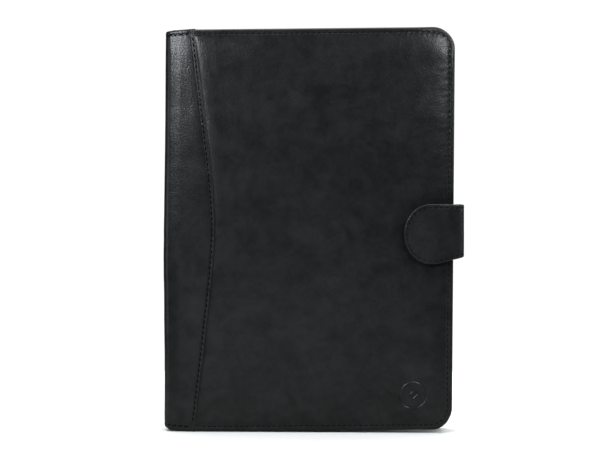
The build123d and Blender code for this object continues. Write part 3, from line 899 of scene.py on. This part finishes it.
def make_strap_half(name, end_y, us, half, radii, column, core, thick, relief):
    """Half of the closing strip: outer leather, rolled edge and lining, from mid-strap to its end."""
    under = [(0.0, thick - 0.75), (0.08, thick - 0.45), (0.3, thick - 0.15)]
    under += [(inset, thick) for inset in (0.7, 1.6, core)]
    spread = [(inset, 0.0) for inset in np.linspace(core, 4.0, 6)[: 6 if core > 4 else 0]]
    outer = spread + [pair for pair in TAB_EDGE if pair[0] <= core]
    if not spread:
        outer = [(core, 0.0)] + outer[1:]
    profile = outer + under
    rings, grid = free_edge_panel(us, half, radii, column, profile, 20)
    insets, depths = np.array(profile).T[:, :, None]
    stitch_row = int(np.argmin(np.abs(insets[: len(outer), 0] - TAB_STITCH_IN)))
    run = lengths(rings[stitch_row])
    step = run[-1] / round(run[-1] / PITCH)
    hold = np.clip(1 - depths / SOFT_EDGE, 0.0, 1.0)
    pucker = TAB_PUCKER * np.cos(2 * np.pi * run / step)[None, :] * bump_at(insets, TAB_STITCH_IN, 0.8) * hold

    def place(uv, depth, lift):
        x, y, nx, ny = strap_path(uv[..., 0], end_y)
        deep = depth - lift
        lift_up = STRAP_SHIFT * (1 - smooth((uv[..., 0] - abs(end_y)) / 16.0))
        round_edge = 1 - smooth((uv[..., 0] - abs(end_y) + STRAP_R) / 7.0)
        foot = np.minimum(uv[..., 1], 0.0) * STRAP_NARROW * round_edge
        return np.stack([x - nx * deep, y - ny * deep, TAB_Z + lift_up + uv[..., 1] - foot], -1)

    top = place(rings, depths, relief(rings, insets) * hold - pucker)
    points = stack(top, place(grid, 0.0, relief(grid, core)), place(grid, thick, 0.0))
    flat = flat_points(rings, depths, grid, (0.0, -thick))
    flat[:, 0] += 90.0 if end_y > 0 else 0.0  # another part of the hide
    piece = make_piece(name, points, panel_faces(rings, grid, 2), TAB_LEATHER, flat)
    piece.data.materials.append(STRAP_LINING)
    for face in piece.data.polygons:
        deep = np.mean([piece.data.attributes["flat"].data[v].vector[2] for v in face.vertices])
        face.material_index = 1 if deep < -(thick - 0.5) else 0
    normals = strap_path(rings[stitch_row][:, 0], end_y)[2:]
    normals = np.stack([normals[0], normals[1], 0 * normals[0]], -1)
    return piece, (top[stitch_row], normals, run, step)


def make_tab():
    """The strip's front half with the tab head, and its back half with the part sewn to the back cover."""
    head_y = STRAP_LOW[1]
    bend = STRAP_R * math.pi / 2
    head_thick = HEAD_HIGH[1] - HEAD_LOW[1]
    flat_start = abs(head_y) - STRAP_R + bend
    round_at = flat_start + (STRAP_LOW[0] - HEAD_LOW[0] - HEAD_ROUND)

    def head_half(u):
        widen = smooth((np.asarray(u) - flat_start + 2.0) / (round_at - flat_start))
        return STRAP_HALF + (HEAD_HALF - STRAP_HALF) * widen

    def head_relief(uv, inset):
        on_head = smooth((uv[..., 0] - flat_start) / 6.0)
        crown = 0.25 * smooth((np.minimum(inset, 12.0) + 0 * uv[..., 0] - 2.0) / 9.0)
        snap = 0.14 * smooth((7.6 - np.hypot(uv[..., 0] - snap_at, uv[..., 1])) / 2.6)
        waves = 0.12 * rough(uv[..., 0], uv[..., 1], 14.0, 51.0)
        return (crown + snap) * on_head + waves * smooth(inset / 6.0)

    snap_low, snap_high = corners("snap_stud")
    snap_at = flat_start + STRAP_LOW[0] - (snap_low[0] + snap_high[0]) / 2
    us = spaced(0.0, round_at, STEP)
    front, edge_row = make_strap_half(
        "tab_front", head_y, us, head_half, (HEAD_ROUND, HEAD_HALF), [], HEAD_ROUND, head_thick, head_relief
    )
    bend_front = {
        "start": Vector((STRAP_HIGH[0], head_y + STRAP_R, 0.0)) * MM,
        "end": Vector((STRAP_LOW[0], head_y, 0.0)) * MM,
    }
    bodies = ("strap", "tab_head")
    nodes = ("tab_leather", "tab_lining", "strap_leather", "strap_lining")
    settle_bent(front, bodies, bend_front, "tab_leather", *nodes)
    row = stitches("tab_stitches_front", [edge_row], THREAD, length=2.1, radius=0.2)
    settle_bent(row, bodies, bend_front, "thread", "tab_stitching", "strap_stitching")

    back_y = STRAP_HIGH[1]
    anchor_end = flat_start + STRAP_LOW[0] - ANCHOR_LOW[0]
    column = spaced(STRAP_HALF - ANCHOR_R, ANCHOR_R - STRAP_HALF, -STEP)[1:-1]

    def back_half(u):
        return STRAP_HALF + 0 * np.asarray(u)

    def back_relief(uv, inset):
        crown = 0.18 * smooth((np.minimum(inset, 12.0) + 0 * uv[..., 0] - 2.0) / 6.0)
        return crown + 0.08 * rough(uv[..., 0], uv[..., 1], 14.0, 57.0) * smooth(inset / 6.0)

    us = spaced(0.0, anchor_end - ANCHOR_R, STEP)
    back, edge_row = make_strap_half(
        "tab_back", back_y, us, back_half, (ANCHOR_R, ANCHOR_R), column, ANCHOR_R, STRAP_THICK, back_relief
    )
    bend_back = {
        "start": Vector((STRAP_LOW[0], back_y, 0.0)) * MM,
        "end": Vector((STRAP_HIGH[0], back_y - STRAP_R, 0.0)) * MM,
    }
    bodies = ("back_cover", "strap")
    nodes = ("strap_anchor", "strap_anchor_lining", "strap_leather", "strap_lining")
    settle_bent(back, bodies, bend_back, "tab_leather", *nodes)
    cross_x = STRAP_LOW[0] - 4.0
    cross_z = spaced(-STRAP_HALF + ANCHOR_R, STRAP_HALF - ANCHOR_R, 0.8)
    across = np.array([(cross_x, back_y - 0.02, TAB_Z + v) for v in cross_z])
    rows = [edge_row, straight_row(across, (0.0, 1.0, 0.0))]
    row = stitches("tab_stitches_back", rows, THREAD, length=2.1, radius=0.2)
    settle_bent(row, bodies, bend_back, "thread", "strap_anchor_stitching", "strap_stitching")


# ---- notebook and pockets
SHEETS = 40              # groups of pages
SLEEVE_R = CORNER_R - 1.6


def make_notebook():
    """Pages, each group of sheets a little out of line with the next, and their card."""
    low, high = corners("page_block")
    thick = (high[1] - low[1]) / SHEETS
    block = []
    for k in range(SHEETS):
        jog = [0.18 * noise.noise(Vector((k * 0.83, seed, 1.7))) for seed in (0.0, 5.0, 9.0)]
        y = low[1] + k * thick
        across = (low[0], high[0] - 0.25 + jog[0])
        up = (low[2] + 0.2 + jog[1], high[2] - 0.2 + jog[2])
        y_span = (y + 0.01, y + thick - 0.01)
        block.append(soft_plate(f"sheet_{k}", across, up, (0.3, 2.0), y_span, PAPER, 0.05))
    settle(join("pages", block), "back_cover", "paper", "page_block")

    low, high = corners("notebook_back_card")
    spans = [(low[axis], high[axis]) for axis in range(3)]
    card = soft_plate("back_card", spans[0], spans[2], (0.3, 2.5), spans[1], CARD, 0.2)
    settle(card, "back_cover", "card", "notebook_back_card")


def join(name, pieces):
    """One piece from several, keeping their points."""
    mesh = bpy.data.meshes.new(name)
    bm = bmesh.new()
    for piece in pieces:
        bm.from_mesh(piece.data)
    bm.to_mesh(mesh)
    bm.free()
    mesh.materials.append(pieces[0].data.materials[0])
    for piece in pieces:
        bpy.data.objects.remove(piece)
    return show(name, mesh)


def make_pockets():
    """Sleeves and card pockets with turned top edges, and the stitches that hold them."""
    rows = []
    for node in ("document_sleeve", "card_pocket_upper", "card_pocket_middle", "card_pocket_lower"):
        low, high = corners(node)
        right_r = SLEEVE_R if node == "document_sleeve" else 1.0
        across, up, y_span = (low[0], high[0]), (low[2], high[2]), (low[1] + 0.02, high[1])
        plate = soft_plate(f"{node}_leather", across, up, (1.0, right_r), y_span, POCKET_LEATHER, 0.4, 0.06)
        settle(plate, "front_cover", "pocket_leather", node)
        face = high[1] + 0.1
        if node == "document_sleeve":
            lines = [[(low[0] + 1.6, z) for z in spaced(low[2] + 3.0, high[2] - 3.0, 2.0)]]
        else:
            lines = [
                [(x, high[2] - 2.0) for x in spaced(low[0] + 2.5, high[0] - 4.0, 2.0)],
                [(low[0] + 1.6, z) for z in spaced(low[2] + 2.5, high[2] - 3.0, 2.0)],
            ]
        if node == "card_pocket_lower":
            lines.append([(x, low[2] + 1.6) for x in spaced(low[0] + 2.5, high[0] - 4.0, 2.0)])
        rows += [straight_row([(x, face, z) for x, z in line], (0.0, 1.0, 0.0)) for line in lines]
    thread = stitches("pocket_stitches", rows, THREAD, radius=0.2)
    settle(thread, "front_cover", "thread")

    low, high = corners("notebook_sleeve")
    across, up, y_span = (low[0], high[0]), (low[2], high[2]), (low[1], low[1] + 0.85)
    sleeve = soft_plate("notebook_sleeve_leather", across, up, (1.0, SLEEVE_R), y_span, POCKET_LEATHER, 0.4)
    settle(sleeve, "back_cover", "pocket_leather", "notebook_sleeve")
    face = low[1] - 0.06
    line = [(low[0] + 1.6, face, z) for z in spaced(low[2] + 3.0, high[2] - 3.0, 2.0)]
    thread = stitches("sleeve_stitches", [straight_row(line, (0.0, -1.0, 0.0))], THREAD, radius=0.2)
    settle(thread, "back_cover", "thread")


def dress_solids():
    """Materials of the CAD nodes that are shown as they are."""
    solids = {"tab_stiffener": by_place(BOARD), "notebook_binding_tape": by_place(BOOK_CLOTH)}
    snap = ("snap_socket", "snap_socket_washer", "snap_stud", "snap_stud_washer")
    solids.update({node: METAL for node in snap})
    for node, material in solids.items():
        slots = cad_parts[node].data.materials
        slots.clear()
        slots.append(material)


# ---- camera, floor and light
# Places and sizes here are in metres
COOL = (0.92, 0.97, 1.0)
FLOOR_R = 0.36
FLOOR_DEEP = 0.8         # the round floor's depth, as a share of its width
FLOOR_Y = 0.06
VIEW_WIDE = 0.3447       # width of what the camera sees at its target
VIEW_FROM = 1.0          # distance of the camera
AZIMUTH, ELEVATION = math.radians(2.3), math.radians(1.2)


def area_light(name, place, target, size, power, colour=(1.0, 1.0, 1.0)):
    lamp = bpy.data.lights.new(name, "AREA")
    lamp.shape = "RECTANGLE"
    lamp.size, lamp.size_y = size
    lamp.energy = power
    lamp.color = colour
    holder = show(name, lamp)
    holder.location = place
    holder.rotation_euler = (Vector(target) - Vector(place)).to_track_quat("-Z", "Y").to_euler()
    holder.visible_camera = False


def make_studio():
    """Camera square on to the front cover, a white table whose reflection in the leather is painted darker,
    and soft light from above.
    """
    target = Vector((-8.3, FRONT_LOW[1], 117.8)) * MM
    level = math.cos(ELEVATION)
    back = Vector((math.sin(AZIMUTH) * level, -math.cos(AZIMUTH) * level, math.sin(ELEVATION)))
    camera = bpy.data.cameras.new("camera")
    camera.sensor_width = 36.0
    camera.lens = camera.sensor_width * VIEW_FROM / VIEW_WIDE
    holder = show("camera", camera)
    holder.location = target + back * VIEW_FROM
    holder.rotation_euler = (-back).to_track_quat("-Z", "Y").to_euler()
    bpy.context.scene.camera = holder

    middle = (0.0, FLOOR_Y, 0.0)
    bpy.ops.mesh.primitive_circle_add(vertices=96, radius=FLOOR_R, fill_type="NGON", location=middle)
    floor = bpy.context.object
    floor.scale.y = FLOOR_DEEP
    floor.name = "floor"
    white = Shader("floor", Roughness=0.9, Specular_IOR_Level=0.1)
    # painted reflection: the floor is 0.9 white to the camera and in diffuse light, but painted 0.3 grey in
    # glossy rays, so the leather mirrors a dimmer floor
    mirrored = white.node("ShaderNodeLightPath").outputs["Is Glossy Ray"]
    white.set("Base Color", white.mix(mirrored, (0.9, 0.9, 0.9), (0.3, 0.3, 0.3)))
    floor.data.materials.append(white.material)

    area_light("top_box", (0.0, 0.1, 1.1), (0.0, 0.05, 0.0), (1.6, 1.4), 22.5)
    area_light("left_box", (-0.3, -0.45, 0.335), (-0.08, 0.0, 0.2), (0.14, 0.12), 1.3, COOL)
    area_light("right_box", (0.25, -0.47, 0.38), (0.07, 0.0, 0.2), (0.08, 0.08), 0.9, COOL)
    area_light("low_box", (-0.16, -0.9, -0.1), (0.0, 0.0, 0.08), (0.5, 0.3), 0.3, COOL)
    area_light("strip_box", (0.55, -0.45, 0.1), (0.0, 0.0, 0.1), (0.06, 0.3), 0.1, COOL)
    area_light("far_box", (-0.9, -0.35, 0.2), (-0.08, 0.0, 0.12), (0.4, 0.4), 0.7, COOL)
    area_light("side_box", (1.0, -0.05, 0.4), (0.08, 0.0, 0.12), (0.4, 0.4), 2.5, COOL)
    area_light("back_box", (0.0, 0.9, 0.8), (0.0, 0.0, 0.1), (1.0, 0.5), 5.0)

    world = bpy.data.worlds.new("studio")
    bpy.context.scene.world = world
    world.use_nodes = True
    nodes, links = world.node_tree.nodes, world.node_tree.links
    room = nodes["Background"]
    room.inputs["Color"].default_value = (0.9, 0.95, 1.0, 1.0)
    room.inputs["Strength"].default_value = 0.08
    seen = nodes.new("ShaderNodeBackground")
    seen.inputs["Color"].default_value = (1.0, 1.0, 1.0, 1.0)
    seen.inputs["Strength"].default_value = 1.05
    rays = nodes.new("ShaderNodeLightPath")
    both = nodes.new("ShaderNodeMixShader")
    links.new(rays.outputs["Is Camera Ray"], both.inputs["Fac"])
    links.new(room.outputs["Background"], both.inputs[1])
    links.new(seen.outputs["Background"], both.inputs[2])
    links.new(both.outputs["Shader"], nodes["World Output"].inputs["Surface"])
    bpy.context.scene.view_settings.view_transform = "Standard"


make_studio()
make_cover_leather(-1)
make_cover_leather(1)
make_spine_half(-1)
make_spine_half(1)
make_linings(make_boards())
make_tab()
make_notebook()
make_pockets()
dress_solids()

bpy.context.view_layer.update()
